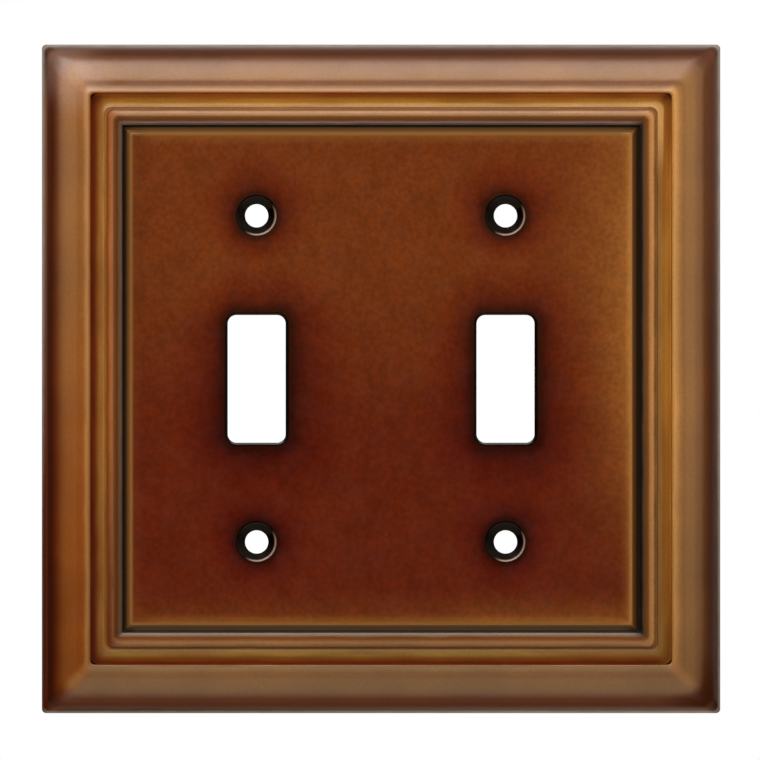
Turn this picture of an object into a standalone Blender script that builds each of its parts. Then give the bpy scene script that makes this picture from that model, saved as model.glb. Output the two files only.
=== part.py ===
"""Two-gang toggle wall plate: a mitred frame, a bead ring and a raised centre panel.

The wall is the plane y = 0 and the plate's front faces -Y, with +X to the right and
+Z up. The origin is the plate's centre in the wall plane. Lengths are in metres.

A moulding's section is drawn with two numbers: its inset from the plate's outer edge
and its rise off the wall.
"""

import math

import bmesh
import bpy
from mathutils import Matrix, Vector

MM = 0.001

# Driving dimensions
WIDTH = 125.4 * MM
HEIGHT = 123.6 * MM
DEPTH = 10.2 * MM
GAP = 0.3 * MM

# Standard spacings of two toggle switches side by side
GANG_PITCH = 46.0 * MM
SCREW_SPACING = 60.3 * MM

# Frame rail: a round outer edge, a shallow bevel, a flat, then a fillet up to an arris
SIDE_RISE = 3.4 * MM
SIDE_DRAFT = 0.25 * MM
ROUND_INSET = 4.95 * MM
ROUND_HEIGHT = 5.75 * MM
ROUND_END = 103
BEVEL_INSET = 6.75 * MM
BEVEL_RISE = 9.72 * MM
FLAT_INSET = 7.5 * MM
FLAT_RISE = 9.78 * MM
FILLET_INSET = 8.1 * MM
FILLET_RISE = 9.94 * MM
ARRIS_RADIUS = 0.3 * MM
ARRIS_START = 113
RAIL_INSET = 9.0 * MM
RAIL_FOOT_INSET = 6.6 * MM
LIP_RISE = 5.4 * MM

# Bead ring: a floor that curves up to a lip, a quirk, a bead and a slope down to the
# groove round the panel, on a foot that sits in the rails' rabbet
RING_RISE = 1.5 * MM
COVE_INSET = RAIL_INSET + GAP
COVE_FLOOR_INSET = 10.6 * MM
COVE_FLOOR_RISE = 8.0 * MM
COVE_RADIUS = 1.6 * MM
COVE_SWEEP = 27
COVE_LIP_INSET = 11.6 * MM
COVE_LIP_RISE = 8.2 * MM
QUIRK_INSET = 11.75 * MM
QUIRK_RISE = 7.93 * MM
BEAD_INSET = 12.85 * MM
BEAD_RISE = 8.4 * MM
BEAD_WIDTH = 0.9 * MM
BEAD_HEIGHT = 0.6 * MM
BEAD_EDGE_INSET = 13.15 * MM
BEAD_EDGE_RISE = 8.35 * MM
SLOPE_INSET = 13.9 * MM
SLOPE_RISE = 7.35 * MM
RING_LIP_INSET = 14.4 * MM
RING_LIP_RISE = 6.7 * MM
RING_INSET = 14.85 * MM
RING_CORNER_RADIUS = 1.4 * MM
RING_CORNER_SHARE = 0.6

# Centre panel: a raised field with a thin tongue behind the bead ring
PANEL_BACK_RISE = 4.3 * MM
TONGUE_RISE = 5.8 * MM
TONGUE_INSET = 12.2 * MM
FIELD_INSET = 15.15 * MM
FIELD_TOP_INSET = 16.35 * MM
FIELD_RISE = 7.5 * MM
FIELD_EDGE = 0.25 * MM
SLOT_WIDTH = 10.7 * MM
SLOT_HEIGHT = 23.6 * MM
SLOT_CORNER = 1.6 * MM
SCREW_HOLE_RADIUS = 2.15 * MM
COUNTERSINK_RADIUS = 3.5 * MM
COUNTERSINK_DEPTH = 1.1 * MM

# V-shaped steel nail driven across each mitre from behind
NAIL_APEX_INSET = 4.7 * MM
NAIL_LEG = 3.3 * MM
NAIL_THICKNESS = 0.5 * MM
NAIL_HEIGHT = 5.0 * MM
NAIL_SINK = 0.2 * MM

ARC_STEPS = 10
CORNER_STEPS = 5
HOLE_STEPS = 32
WELD = 0.01 * MM
SMOOTH_ANGLE = math.radians(35)

# Quarter turns about +Y that carry the bottom rail and the bottom left corner round
SIDES = ("bottom", "left", "top", "right")
CORNERS = ("bottom_left", "top_left", "top_right", "bottom_right")


def new_collection(name):
    """Make a collection in the scene."""
    group = bpy.data.collections.new(name)
    bpy.context.scene.collection.children.link(group)
    return group


def new_material(name, color, roughness, metallic=0.0):
    """Make a Principled material."""
    material = bpy.data.materials.new(name)
    material.use_nodes = True
    shader = material.node_tree.nodes["Principled BSDF"]
    shader.inputs["Base Color"].default_value = (*color, 1.0)
    shader.inputs["Roughness"].default_value = roughness
    shader.inputs["Metallic"].default_value = metallic
    return material


def add_object(name, mesh, group, material=None):
    """Link a mesh object, with a material or as a cutter."""
    piece = bpy.data.objects.new(name, mesh)
    group.objects.link(piece)
    if material is None:
        piece.hide_render = True
        piece.display_type = "WIRE"
    else:
        mesh.materials.append(material)
    return piece


def shade(mesh):
    """Smooth a mesh across its rounded stretches only."""
    mesh.shade_smooth()
    mesh.set_sharp_from_angle(angle=SMOOTH_ANGLE)


def arc(centre, radius_inset, radius_rise, start, end, steps=ARC_STEPS):
    """Return points along an elliptical arc, its angles in degrees from the inset axis."""
    points = []
    for step in range(steps + 1):
        angle = math.radians(start + (end - start) * step / steps)
        inset = centre[0] + radius_inset * math.cos(angle)
        rise = centre[1] + radius_rise * math.sin(angle)
        points.append((inset, rise))
    return points


def box_mesh(name, low, high):
    """Make a box between two corners."""
    low = Vector(low)
    high = Vector(high)
    mesh = bpy.data.meshes.new(name)
    bm = bmesh.new()
    bmesh.ops.create_cube(bm, size=1.0)
    bmesh.ops.scale(bm, vec=high - low, verts=bm.verts)
    bmesh.ops.translate(bm, vec=(high + low) / 2, verts=bm.verts)
    bm.to_mesh(mesh)
    bm.free()
    return mesh


def prism_mesh(name, outline, length):
    """Extrude a flat outline along local Z, centred on it."""
    curve = bpy.data.curves.new(name, "CURVE")
    curve.dimensions = "2D"
    curve.fill_mode = "BOTH"
    curve.extrude = length / 2
    spline = curve.splines.new("POLY")
    spline.points.add(len(outline) - 1)
    for point, (x, y) in zip(spline.points, outline):
        point.co = (x, y, 0.0, 1.0)
    spline.use_cyclic_u = True
    source = bpy.data.objects.new(name, curve)
    bpy.context.scene.collection.objects.link(source)
    evaluated = source.evaluated_get(bpy.context.evaluated_depsgraph_get())
    mesh = bpy.data.meshes.new_from_object(evaluated)
    bpy.data.objects.remove(source)
    bm = bmesh.new()
    bm.from_mesh(mesh)
    bmesh.ops.remove_doubles(bm, verts=bm.verts, dist=WELD)
    bm.to_mesh(mesh)
    bm.free()
    return mesh


def cut(piece, cutter):
    """Subtract a cutter from a piece."""
    modifier = piece.modifiers.new(cutter.name, "BOOLEAN")
    modifier.operation = "DIFFERENCE"
    modifier.solver = "EXACT"
    modifier.object = cutter


def nail_outline(leg, thickness):
    """Outline of a V nail: its legs run from the apex towards -X and -Y."""
    half = thickness / 2
    return [(half, half), (-leg, half), (-leg, -half), (-half, -half), (-half, -leg), (half, -leg)]


def nail_matrix(corner, height):
    """Place a nail, or the slot for one, of this height behind a corner's mitre."""
    turn = math.pi / 2 * CORNERS.index(corner)
    side_x = 1 if corner.endswith("right") else -1
    side_z = 1 if corner.startswith("top") else -1
    apex_x = side_x * (WIDTH / 2 - NAIL_APEX_INSET)
    apex_z = side_z * (HEIGHT / 2 - NAIL_APEX_INSET)
    place = Matrix.Translation((apex_x, -height / 2, apex_z))
    return place @ Matrix.Rotation(turn, 4, "Y") @ Matrix.Rotation(math.pi / 2, 4, "X")


def nail_slots(cutters):
    """Slots in the back of the mitres, each with clearance all round its nail."""
    slots = {}
    depth = NAIL_SINK + NAIL_HEIGHT + GAP
    for corner in CORNERS:
        outline = nail_outline(NAIL_LEG + GAP, NAIL_THICKNESS + 2 * GAP)
        slot = add_object("slot_" + corner, prism_mesh("slot_" + corner, outline, 2 * depth), cutters)
        slot.matrix_world = nail_matrix(corner, 0.0)
        slots[corner] = slot
    return slots


def rail_section():
    """Section of a frame rail, from its foot up its outer side and over to its rabbet."""
    points = [(0.0, 0.0)]
    centre = (ROUND_INSET, SIDE_RISE)
    points += arc(centre, ROUND_INSET - SIDE_DRAFT, ROUND_HEIGHT, 180, ROUND_END)
    points.append((BEVEL_INSET, BEVEL_RISE))
    points.append((FLAT_INSET, FLAT_RISE))
    points.append((FILLET_INSET, FILLET_RISE))
    centre = (RAIL_INSET - ARRIS_RADIUS, DEPTH - ARRIS_RADIUS)
    points += arc(centre, ARRIS_RADIUS, ARRIS_RADIUS, ARRIS_START, 0, 4)
    points.append((RAIL_INSET, LIP_RISE))
    points.append((RAIL_FOOT_INSET, LIP_RISE))
    points.append((RAIL_FOOT_INSET, 0.0))
    return points


def frame_rails(parts, slots, material):
    """Four mitred rails, each slotted at both ends for the corner nails."""
    # A rail is drawn with local X as inset, Y as rise and Z along its length.
    lay_down = Matrix(((0, 0, 1, 0), (0, -1, 0, 0), (1, 0, 0, 0), (0, 0, 0, 1)))
    for index, side in enumerate(SIDES):
        upright = side in ("left", "right")
        length, span = (HEIGHT, WIDTH) if upright else (WIDTH, HEIGHT)
        name = side + "_rail"
        mesh = prism_mesh(name, rail_section(), length)
        for vertex in mesh.vertices:
            mitre = vertex.co.x + GAP / math.sqrt(2)
            vertex.co.z -= math.copysign(mitre, vertex.co.z)
        shade(mesh)
        rail = add_object(name, mesh, parts, material)
        turn = Matrix.Rotation(math.pi / 2 * index, 4, "Y")
        rail.matrix_world = turn @ Matrix.Translation((0, 0, -span / 2)) @ lay_down
        for corner in CORNERS:
            if side in corner:
                cut(rail, slots[corner])


def corner_nails(parts, material):
    """One V nail across each mitre, sunk a little below the rails' back faces."""
    for corner in CORNERS:
        name = "v_nail_" + corner
        mesh = prism_mesh(name, nail_outline(NAIL_LEG, NAIL_THICKNESS), NAIL_HEIGHT)
        nail = add_object(name, mesh, parts, material)
        nail.matrix_world = nail_matrix(corner, 2 * NAIL_SINK + NAIL_HEIGHT)


def ring_section():
    """Section of the bead ring, from the back of its foot over its face to its inner side."""
    foot_inset = RAIL_FOOT_INSET + GAP
    foot_rise = LIP_RISE - GAP
    points = [(foot_inset, RING_RISE), (foot_inset, foot_rise), (COVE_INSET, foot_rise)]
    points.append((COVE_INSET, COVE_FLOOR_RISE))
    centre = (COVE_FLOOR_INSET, COVE_FLOOR_RISE + COVE_RADIUS)
    points += arc(centre, COVE_RADIUS, COVE_RADIUS, 270, 270 + COVE_SWEEP, 3)
    points.append((COVE_LIP_INSET, COVE_LIP_RISE))
    points.append((QUIRK_INSET, QUIRK_RISE))
    points += arc((BEAD_INSET, BEAD_RISE - BEAD_HEIGHT), BEAD_WIDTH, BEAD_HEIGHT, 170, 90, 6)
    points.append((BEAD_EDGE_INSET, BEAD_EDGE_RISE))
    points.append((SLOPE_INSET, SLOPE_RISE))
    points.append((RING_LIP_INSET, RING_LIP_RISE))
    points.append((RING_INSET, RING_LIP_RISE))
    points.append((RING_INSET, TONGUE_RISE + GAP))
    points.append((TONGUE_INSET - GAP, TONGUE_RISE + GAP))
    points.append((TONGUE_INSET - GAP, RING_RISE))
    return points


def ring_corner_radius(inset, rise):
    """Only the shaped face has rounded corners, sharper towards the groove round the
    panel; the foot fits square rabbets."""
    if inset <= COVE_INSET or rise < RING_LIP_RISE:
        return 0.0
    return min(RING_CORNER_RADIUS, RING_CORNER_SHARE * (RING_INSET - inset))


def bead_ring(parts, material):
    """One closed ring, lofted round the plate from sections that turn each corner."""
    section = ring_section()
    bm = bmesh.new()
    stations = []
    for quarter in range(4):
        for step in range(CORNER_STEPS + 1):
            angle = math.pi / 2 * (quarter + step / CORNER_STEPS)
            middle = math.pi / 2 * (quarter + 0.5)
            side_x = math.copysign(1, math.cos(middle))
            side_z = math.copysign(1, math.sin(middle))
            station = []
            for inset, rise in section:
                radius = ring_corner_radius(inset, rise)
                x = side_x * (WIDTH / 2 - inset - radius) + radius * math.cos(angle)
                z = side_z * (HEIGHT / 2 - inset - radius) + radius * math.sin(angle)
                station.append(bm.verts.new((x, -rise, z)))
            stations.append(station)
    for here, there in zip(stations, stations[1:] + stations[:1]):
        for near in range(len(section)):
            far = (near + 1) % len(section)
            bm.faces.new((here[near], here[far], there[far], there[near]))
    bmesh.ops.remove_doubles(bm, verts=bm.verts, dist=WELD)
    bmesh.ops.recalc_face_normals(bm, faces=bm.faces)
    mesh = bpy.data.meshes.new("bead_ring")
    bm.to_mesh(mesh)
    bm.free()
    shade(mesh)
    add_object("bead_ring", mesh, parts, material)


def plate_box(name, inset, back, front):
    """Make a box set in from the plate's outer edge, between two rises."""
    x = WIDTH / 2 - inset
    z = HEIGHT / 2 - inset
    return box_mesh(name, (-x, -front, -z), (x, -back, z))


def taper(mesh, foot_inset, front_inset):
    """Draw a plate box's front face in, so that its sides slope."""
    for vertex in mesh.vertices:
        if vertex.co.y < -TONGUE_RISE:
            vertex.co.x -= math.copysign(front_inset - foot_inset, vertex.co.x)
            vertex.co.z -= math.copysign(front_inset - foot_inset, vertex.co.z)


def add_bevel(piece, width, segments):
    """Round a piece's edges."""
    bevel = piece.modifiers.new("edges", "BEVEL")
    bevel.width = width
    bevel.segments = segments
    bevel.limit_method = "ANGLE"


def screw_hole(name, group):
    """Countersunk through hole, turned about local Z with its mouth up."""
    below = FIELD_RISE - PANEL_BACK_RISE + MM
    profile = [
        (0.0, MM),
        (COUNTERSINK_RADIUS, MM),
        (COUNTERSINK_RADIUS, 0.0),
        (SCREW_HOLE_RADIUS, -COUNTERSINK_DEPTH),
        (SCREW_HOLE_RADIUS, -below),
        (0.0, -below),
    ]
    mesh = bpy.data.meshes.new(name)
    points = [(radius, 0.0, z) for radius, z in profile]
    mesh.from_pydata(points, [(at, at + 1) for at in range(len(points) - 1)], [])
    hole = add_object(name, mesh, group)
    screw = hole.modifiers.new("turn", "SCREW")
    screw.axis = "Z"
    screw.angle = math.tau
    screw.steps = HOLE_STEPS
    screw.render_steps = HOLE_STEPS
    screw.use_merge_vertices = True
    screw.merge_threshold = WELD
    return hole


def centre_panel(parts, cutters, material):
    """Raised panel with two toggle slots and four countersunk screw holes."""
    panel = add_object(
        "centre_panel",
        plate_box("centre_panel", TONGUE_INSET, PANEL_BACK_RISE, TONGUE_RISE),
        parts,
        material,
    )
    # The field's sloped sides run on down to the middle of the tongue's thickness.
    middle_rise = (PANEL_BACK_RISE + TONGUE_RISE) / 2
    slope = (FIELD_TOP_INSET - FIELD_INSET) / (FIELD_RISE - TONGUE_RISE)
    foot_inset = FIELD_INSET - slope * (TONGUE_RISE - middle_rise)
    field_mesh = plate_box("field", foot_inset, middle_rise, FIELD_RISE)
    taper(field_mesh, foot_inset, FIELD_TOP_INSET)
    field = add_object("field", field_mesh, cutters)
    add_bevel(field, FIELD_EDGE, 2)
    join = panel.modifiers.new("field", "BOOLEAN")
    join.operation = "UNION"
    join.solver = "EXACT"
    join.object = field
    for side_x, label in ((-1, "left"), (1, "right")):
        x = side_x * GANG_PITCH / 2
        low = (x - SLOT_WIDTH / 2, -DEPTH, -SLOT_HEIGHT / 2)
        high = (x + SLOT_WIDTH / 2, 0.0, SLOT_HEIGHT / 2)
        slot = add_object("slot_" + label, box_mesh("slot_" + label, low, high), cutters)
        add_bevel(slot, SLOT_CORNER, CORNER_STEPS)
        cut(panel, slot)
        for side_z, level in ((-1, "lower"), (1, "upper")):
            hole = screw_hole("hole_" + level + "_" + label, cutters)
            hole.location = (x, -FIELD_RISE, side_z * SCREW_SPACING / 2)
            hole.rotation_euler = (math.pi / 2, 0.0, 0.0)
            cut(panel, hole)


def main():
    """Build the wall plate."""
    for item in list(bpy.data.objects):
        bpy.data.objects.remove(item, do_unlink=True)
    parts = new_collection("wall_plate")
    cutters = new_collection("cutters")
    golden_stain = new_material("golden_stain", (0.27, 0.10, 0.022), 0.35)
    glazed_stain = new_material("glazed_stain", (0.25, 0.085, 0.016), 0.35)
    red_brown_stain = new_material("red_brown_stain", (0.13, 0.024, 0.006), 0.35)
    steel = new_material("steel", (0.45, 0.45, 0.46), 0.4, 1.0)
    slots = nail_slots(cutters)
    frame_rails(parts, slots, golden_stain)
    corner_nails(parts, steel)
    bead_ring(parts, glazed_stain)
    centre_panel(parts, cutters, red_brown_stain)


main()
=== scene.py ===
"""Looks of the two-gang toggle wall plate: stained and glazed wood under satin lacquer.

The wall is the plane y = 0 and the plate's front faces -Y. A moulding's section is
drawn with two numbers, its inset from the plate's outer edge and its rise off the wall.
Lengths are in metres.
"""

import math

import bmesh
import bpy
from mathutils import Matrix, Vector


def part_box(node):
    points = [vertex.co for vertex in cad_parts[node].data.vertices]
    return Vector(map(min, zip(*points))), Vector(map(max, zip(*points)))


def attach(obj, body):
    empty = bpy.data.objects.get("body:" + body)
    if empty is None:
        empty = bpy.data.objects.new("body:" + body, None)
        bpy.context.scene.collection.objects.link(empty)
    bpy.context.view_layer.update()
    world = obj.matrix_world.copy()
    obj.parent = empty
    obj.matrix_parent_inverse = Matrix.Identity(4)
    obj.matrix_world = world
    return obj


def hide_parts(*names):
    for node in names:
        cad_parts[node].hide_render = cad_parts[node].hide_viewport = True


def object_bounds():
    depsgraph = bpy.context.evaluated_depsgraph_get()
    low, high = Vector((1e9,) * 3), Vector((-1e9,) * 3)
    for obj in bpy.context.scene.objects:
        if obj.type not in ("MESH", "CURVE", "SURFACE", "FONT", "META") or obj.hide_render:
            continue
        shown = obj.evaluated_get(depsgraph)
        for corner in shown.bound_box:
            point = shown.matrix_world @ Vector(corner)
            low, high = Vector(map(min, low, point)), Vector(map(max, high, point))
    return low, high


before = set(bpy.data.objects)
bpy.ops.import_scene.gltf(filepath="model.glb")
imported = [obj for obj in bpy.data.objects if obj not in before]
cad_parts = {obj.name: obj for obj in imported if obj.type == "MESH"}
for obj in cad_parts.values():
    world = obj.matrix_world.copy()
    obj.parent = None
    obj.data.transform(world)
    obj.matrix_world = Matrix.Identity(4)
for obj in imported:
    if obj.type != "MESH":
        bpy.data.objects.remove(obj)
cad_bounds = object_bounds()

MM = 0.001

# Sizes that the frame gives
plate_low, plate_high = (Vector(corner) for corner in cad_bounds)
rail_low, rail_high = (Vector(corner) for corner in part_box("left_rail"))
ring_high = Vector(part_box("bead_ring")[1])
panel_low, panel_high = (Vector(corner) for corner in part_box("centre_panel"))
HALF_X = plate_high.x
HALF_Z = plate_high.z
DEPTH = -plate_low.y
RAIL_INSET = rail_high.x - rail_low.x
RING_RISE = -ring_high.y
TONGUE_INSET = HALF_X - panel_high.x
PANEL_BACK_RISE = -panel_high.y
FIELD_RISE = -panel_low.y

# Fit between neighbouring pieces where the joint shows as a fine line
FIT = 0.06 * MM

# Frame rail
SIDE_RISE = 3.4 * MM
SIDE_DRAFT = 0.25 * MM
ROUND_CENTRE_INSET = 4.95 * MM
ROUND_HEIGHT = 5.75 * MM
ROUND_END = 103
ARRIS_RADIUS = 0.3 * MM
ARRIS_START = 113
RAIL_FOOT_INSET = 6.6 * MM
LIP_RISE = 5.4 * MM
RAIL_CORNER_RADIUS = 0.8 * MM
RAIL_HIP_SOFTNESS = 2.2 * MM
# Inset and rise, in millimetres, from the quarter round to the arris: the nearly flat
# crown, a faint bevel and the fillet
RAIL_CROWN = [
    (4.8, 9.26),
    (5.9, 9.55),
    (6.55, 9.685),
    (6.95, 9.735),
    (7.5, 9.78),
    (7.8, 9.84),
    (8.1, 9.94),
]

# Bead ring
COVE_INSET = RAIL_INSET + FIT
COVE_FLOOR_INSET = 10.6 * MM
COVE_FLOOR_RISE = 8.0 * MM
COVE_RADIUS = 1.6 * MM
COVE_END = 27
COVE_LIP_INSET = 11.45 * MM
COVE_LIP_RISE = 8.22 * MM
COVE_LIP_RADIUS = 0.15 * MM
QUIRK_RISE = 7.93 * MM
BEAD_INSET = 12.85 * MM
BEAD_RISE = 8.4 * MM
BEAD_WIDTH = 0.9 * MM
BEAD_HEIGHT = 0.6 * MM
BEAD_EDGE_INSET = 13.08 * MM
BEAD_EDGE_RADIUS = 0.12 * MM
SLOPE_INSET = 13.9 * MM
SLOPE_RISE = 7.35 * MM
RING_INSET = 14.85 * MM
RING_LIP_RISE = 6.7 * MM
RING_CORNER_RADIUS = 1.4 * MM

# Centre panel
TONGUE_RISE = 5.8 * MM
FIELD_INSET = 15.15 * MM
FIELD_TOP_INSET = 16.5 * MM
FIELD_EDGE_RADIUS = 0.3 * MM
FIELD_CORNER_RADIUS = 0.5 * MM
GANG_X = 23.0 * MM
SCREW_Z = 30.15 * MM
SLOT_HALF_X = 5.35 * MM
SLOT_HALF_Z = 11.8 * MM
SLOT_CORNER = 1.6 * MM
SLOT_LIP = 0.35 * MM
SCREW_HOLE_RADIUS = 2.15 * MM
COUNTERSINK_RADIUS = 3.5 * MM
COUNTERSINK_DEPTH = 1.1 * MM
COUNTERSINK_SOFTNESS = 0.25 * MM

# Clearance round a nail in its rail
NAIL_FIT = 0.05 * MM

# Mesh detail, and the least angle that stays a hard edge
ARC_STEPS = 20
CORNER_STEPS = 6
HOLE_STEPS = 72
STRAIGHT_STEPS = 24
SHARP_ANGLE = math.radians(38)

# Where a moulding's mesh keeps its insets
INSET_LAYER = "inset"


# ---------------------------------------------------------------- geometry


def arc(centre, across, up, start, end, steps=ARC_STEPS):
    """Points on an elliptical arc, its angles in degrees from the inset axis."""
    points = []
    for step in range(steps + 1):
        angle = math.radians(start + (end - start) * step / steps)
        points.append((centre[0] + across * math.cos(angle), centre[1] + up * math.sin(angle)))
    return points


def corner_side(quarter):
    """Signs of x and z at one of the plate's corners, counted round from the top right."""
    middle = math.pi / 2 * (quarter + 0.5)
    return math.copysign(1, math.cos(middle)), math.copysign(1, math.sin(middle))


def straight_stations(quarter):
    """Stations along the side that leads from one corner to the next."""
    here = Vector(corner_side(quarter))
    there = Vector(corner_side(quarter + 1))
    angle = math.pi / 2 * (quarter + 1)
    stations = []
    for step in range(1, STRAIGHT_STEPS):
        x, z = here.lerp(there, step / STRAIGHT_STEPS)
        stations.append((x, z, angle))
    return stations


def corner_stations(quarter, first=0, last=2 * CORNER_STEPS):
    """Stations round one corner, or round half of it, where a mitre cuts it."""
    x, z = corner_side(quarter)
    stations = []
    for step in range(first, last + 1):
        stations.append((x, z, math.pi / 2 * (quarter + step / (2 * CORNER_STEPS))))
    return stations


def place(station, inset, rise, radius):
    """Position of a section's point at a station."""
    side_x, side_z, angle = station
    x = side_x * (HALF_X - inset - radius) + radius * math.cos(angle)
    z = side_z * (HALF_Z - inset - radius) + radius * math.sin(angle)
    return (x, -rise, z)


def loft(rows, closed, insets=()):
    """Skin rows of points into a closed solid: a ring, or a bar with two end faces.

    Each vertex keeps its point's inset, in millimetres, for the finish.
    """
    bm = bmesh.new()
    layer = bm.verts.layers.float.new(INSET_LAYER)
    grid = [[bm.verts.new(point) for point in row] for row in rows]
    for row in grid:
        for vertex, inset in zip(row, insets):
            vertex[layer] = inset / MM
    after = grid[1:] + grid[:1] if closed else grid[1:]
    for here, there in zip(grid, after):
        for near in range(len(here)):
            far = (near + 1) % len(here)
            bm.faces.new((here[near], here[far], there[far], there[near]))
    if not closed:
        bm.faces.new(grid[0])
        bm.faces.new(grid[-1])
    bmesh.ops.remove_doubles(bm, verts=bm.verts, dist=0.001 * MM)
    bmesh.ops.recalc_face_normals(bm, faces=bm.faces)
    return bm


def sweep(stations, section, corner_radius, closed):
    """Carry a section round the plate, each of its points with its own corner radius."""
    rows = []
    for station in stations:
        row = [place(station, inset, rise, corner_radius(inset)) for inset, rise in section]
        rows.append(row)
    return loft(rows, closed, insets=[inset for inset, rise in section])


def shade(mesh):
    """Shade a mesh smooth, with its flat faces and hard edges kept crisp."""
    mesh.shade_smooth()
    mesh.set_sharp_from_angle(angle=SHARP_ANGLE)
    for face in mesh.polygons:
        if len(face.vertices) > 4:
            face.use_smooth = False


def add_piece(name, bm):
    """Link a piece made from a bmesh."""
    mesh = bpy.data.meshes.new(name)
    bm.to_mesh(mesh)
    bm.free()
    shade(mesh)
    piece = bpy.data.objects.new(name, mesh)
    bpy.context.scene.collection.objects.link(piece)
    return piece


def cut(piece, cutters):
    """Take cutters away from a piece, and keep the result as its own mesh."""
    for cutter in cutters:
        modifier = piece.modifiers.new(cutter.name, "BOOLEAN")
        modifier.operation = "DIFFERENCE"
        modifier.solver = "EXACT"
        modifier.object = cutter
    evaluated = piece.evaluated_get(bpy.context.evaluated_depsgraph_get())
    mesh = bpy.data.meshes.new_from_object(evaluated)
    shade(mesh)
    piece.modifiers.clear()
    piece.data = mesh
    for cutter in cutters:
        bpy.data.objects.remove(cutter)


def rail_section():
    """Section of a frame rail: side, quarter round, crown, arris, step and rabbet."""
    points = [(0.0, 0.0), (SIDE_DRAFT / 2, SIDE_RISE / 2)]
    centre = (ROUND_CENTRE_INSET, SIDE_RISE)
    points += arc(centre, ROUND_CENTRE_INSET - SIDE_DRAFT, ROUND_HEIGHT, 180, ROUND_END)
    points += [(inset * MM, rise * MM) for inset, rise in RAIL_CROWN]
    centre = (RAIL_INSET - ARRIS_RADIUS, DEPTH - ARRIS_RADIUS)
    points += arc(centre, ARRIS_RADIUS, ARRIS_RADIUS, ARRIS_START, 0, 12)
    points.append((RAIL_INSET, COVE_FLOOR_RISE))
    points.append((RAIL_INSET, LIP_RISE))
    points.append((RAIL_FOOT_INSET, LIP_RISE))
    points.append((RAIL_FOOT_INSET, 0.0))
    return points


def rail_corner_radius(inset):
    """Corner radius of a rail: its hip is rubbed softest a third of the way in."""
    share = inset / RAIL_INSET
    return RAIL_CORNER_RADIUS + RAIL_HIP_SOFTNESS * 27 / 4 * share * (1 - share) ** 2


def rail_piece(name, quarter):
    """The rail between one corner and the next, mitred at both."""
    stations = corner_stations(quarter, first=CORNER_STEPS)
    stations += straight_stations(quarter)
    stations += corner_stations(quarter + 1, last=CORNER_STEPS)
    rail = add_piece(name, sweep(stations, rail_section(), rail_corner_radius, closed=False))
    cut(rail, nail_cutters(name))
    return rail


def nail_cutters(name):
    """Cutters for the nails at both ends of a rail, with a fine clearance all round."""
    cutters = []
    side = name.split("_")[0]
    for node_name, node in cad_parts.items():
        if node_name.startswith("v_nail_") and side in node_name:
            bm = bmesh.new()
            bm.from_mesh(node.data)
            bmesh.ops.remove_doubles(bm, verts=bm.verts, dist=0.001 * MM)
            bm.normal_update()
            for vertex in bm.verts:
                vertex.co += vertex.normal * NAIL_FIT * vertex.calc_shell_factor()
            for vertex in bm.verts:
                if vertex.co.y > -MM:
                    vertex.co.y = MM
            cutters.append(add_piece("nail_cutter", bm))
    return cutters


def ring_section():
    """Section of the bead ring: foot, cove, lip, quirk, bead and the slope into the groove."""
    foot_inset = RAIL_FOOT_INSET + FIT
    foot_rise = LIP_RISE - FIT
    points = [(foot_inset, RING_RISE), (foot_inset, foot_rise), (COVE_INSET, foot_rise)]
    points.append((COVE_INSET, COVE_FLOOR_RISE))
    centre = (COVE_FLOOR_INSET, COVE_FLOOR_RISE + COVE_RADIUS)
    points += arc(centre, COVE_RADIUS, COVE_RADIUS, 270, 270 + COVE_END, 10)
    centre = (COVE_LIP_INSET, COVE_LIP_RISE - COVE_LIP_RADIUS)
    points += arc(centre, COVE_LIP_RADIUS, COVE_LIP_RADIUS, 117, 0, 6)
    points.append((COVE_LIP_INSET + COVE_LIP_RADIUS + 0.1 * MM, QUIRK_RISE))
    points += arc((BEAD_INSET, BEAD_RISE - BEAD_HEIGHT), BEAD_WIDTH, BEAD_HEIGHT, 170, 90, 14)
    centre = (BEAD_EDGE_INSET, BEAD_RISE - BEAD_EDGE_RADIUS)
    points += arc(centre, BEAD_EDGE_RADIUS, BEAD_EDGE_RADIUS, 85, 35, 4)
    points.append((SLOPE_INSET, SLOPE_RISE))
    points.append((SLOPE_INSET + 0.25 * MM, SLOPE_RISE - 0.31 * MM))
    points.append((SLOPE_INSET + 0.5 * MM, RING_LIP_RISE + 0.13 * MM))
    points.append((RING_INSET - 0.15 * MM, RING_LIP_RISE))
    points.append((RING_INSET, RING_LIP_RISE - 0.08 * MM))
    points.append((RING_INSET, TONGUE_RISE + FIT))
    points.append((TONGUE_INSET - FIT, TONGUE_RISE + FIT))
    points.append((TONGUE_INSET - FIT, RING_RISE))
    return points


def ring_corner_radius(inset):
    """Corner radius of the ring: the cove and bead turn round, the groove turns sharp."""
    return max(0.15 * MM, min(RING_CORNER_RADIUS, 0.6 * (RING_INSET - inset)))


def ring_piece():
    """The bead ring, one piece all the way round."""
    stations = []
    for quarter in range(4):
        stations += corner_stations(quarter) + straight_stations(quarter)
    bm = sweep(stations, ring_section(), ring_corner_radius, closed=True)
    return add_piece("bead_ring_glazed", bm)


def rounded_rectangle(centre, half, radius, rise):
    """A loop of points round a rectangle with round corners, facing the room."""
    loop = []
    for quarter in range(4):
        side_x, side_z = corner_side(quarter)
        for step in range(2 * CORNER_STEPS + 1):
            angle = math.pi / 2 * (quarter + step / (2 * CORNER_STEPS))
            x = centre[0] + side_x * (half[0] - radius) + radius * math.cos(angle)
            z = centre[1] + side_z * (half[1] - radius) + radius * math.sin(angle)
            loop.append((x, -rise, z))
    return loop


def circle(centre, radius, rise):
    """A loop of points round a circle, facing the room."""
    loop = []
    for step in range(HOLE_STEPS):
        angle = math.tau * step / HOLE_STEPS
        x = centre[0] + radius * math.cos(angle)
        z = centre[1] + radius * math.sin(angle)
        loop.append((x, -rise, z))
    return loop


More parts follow.
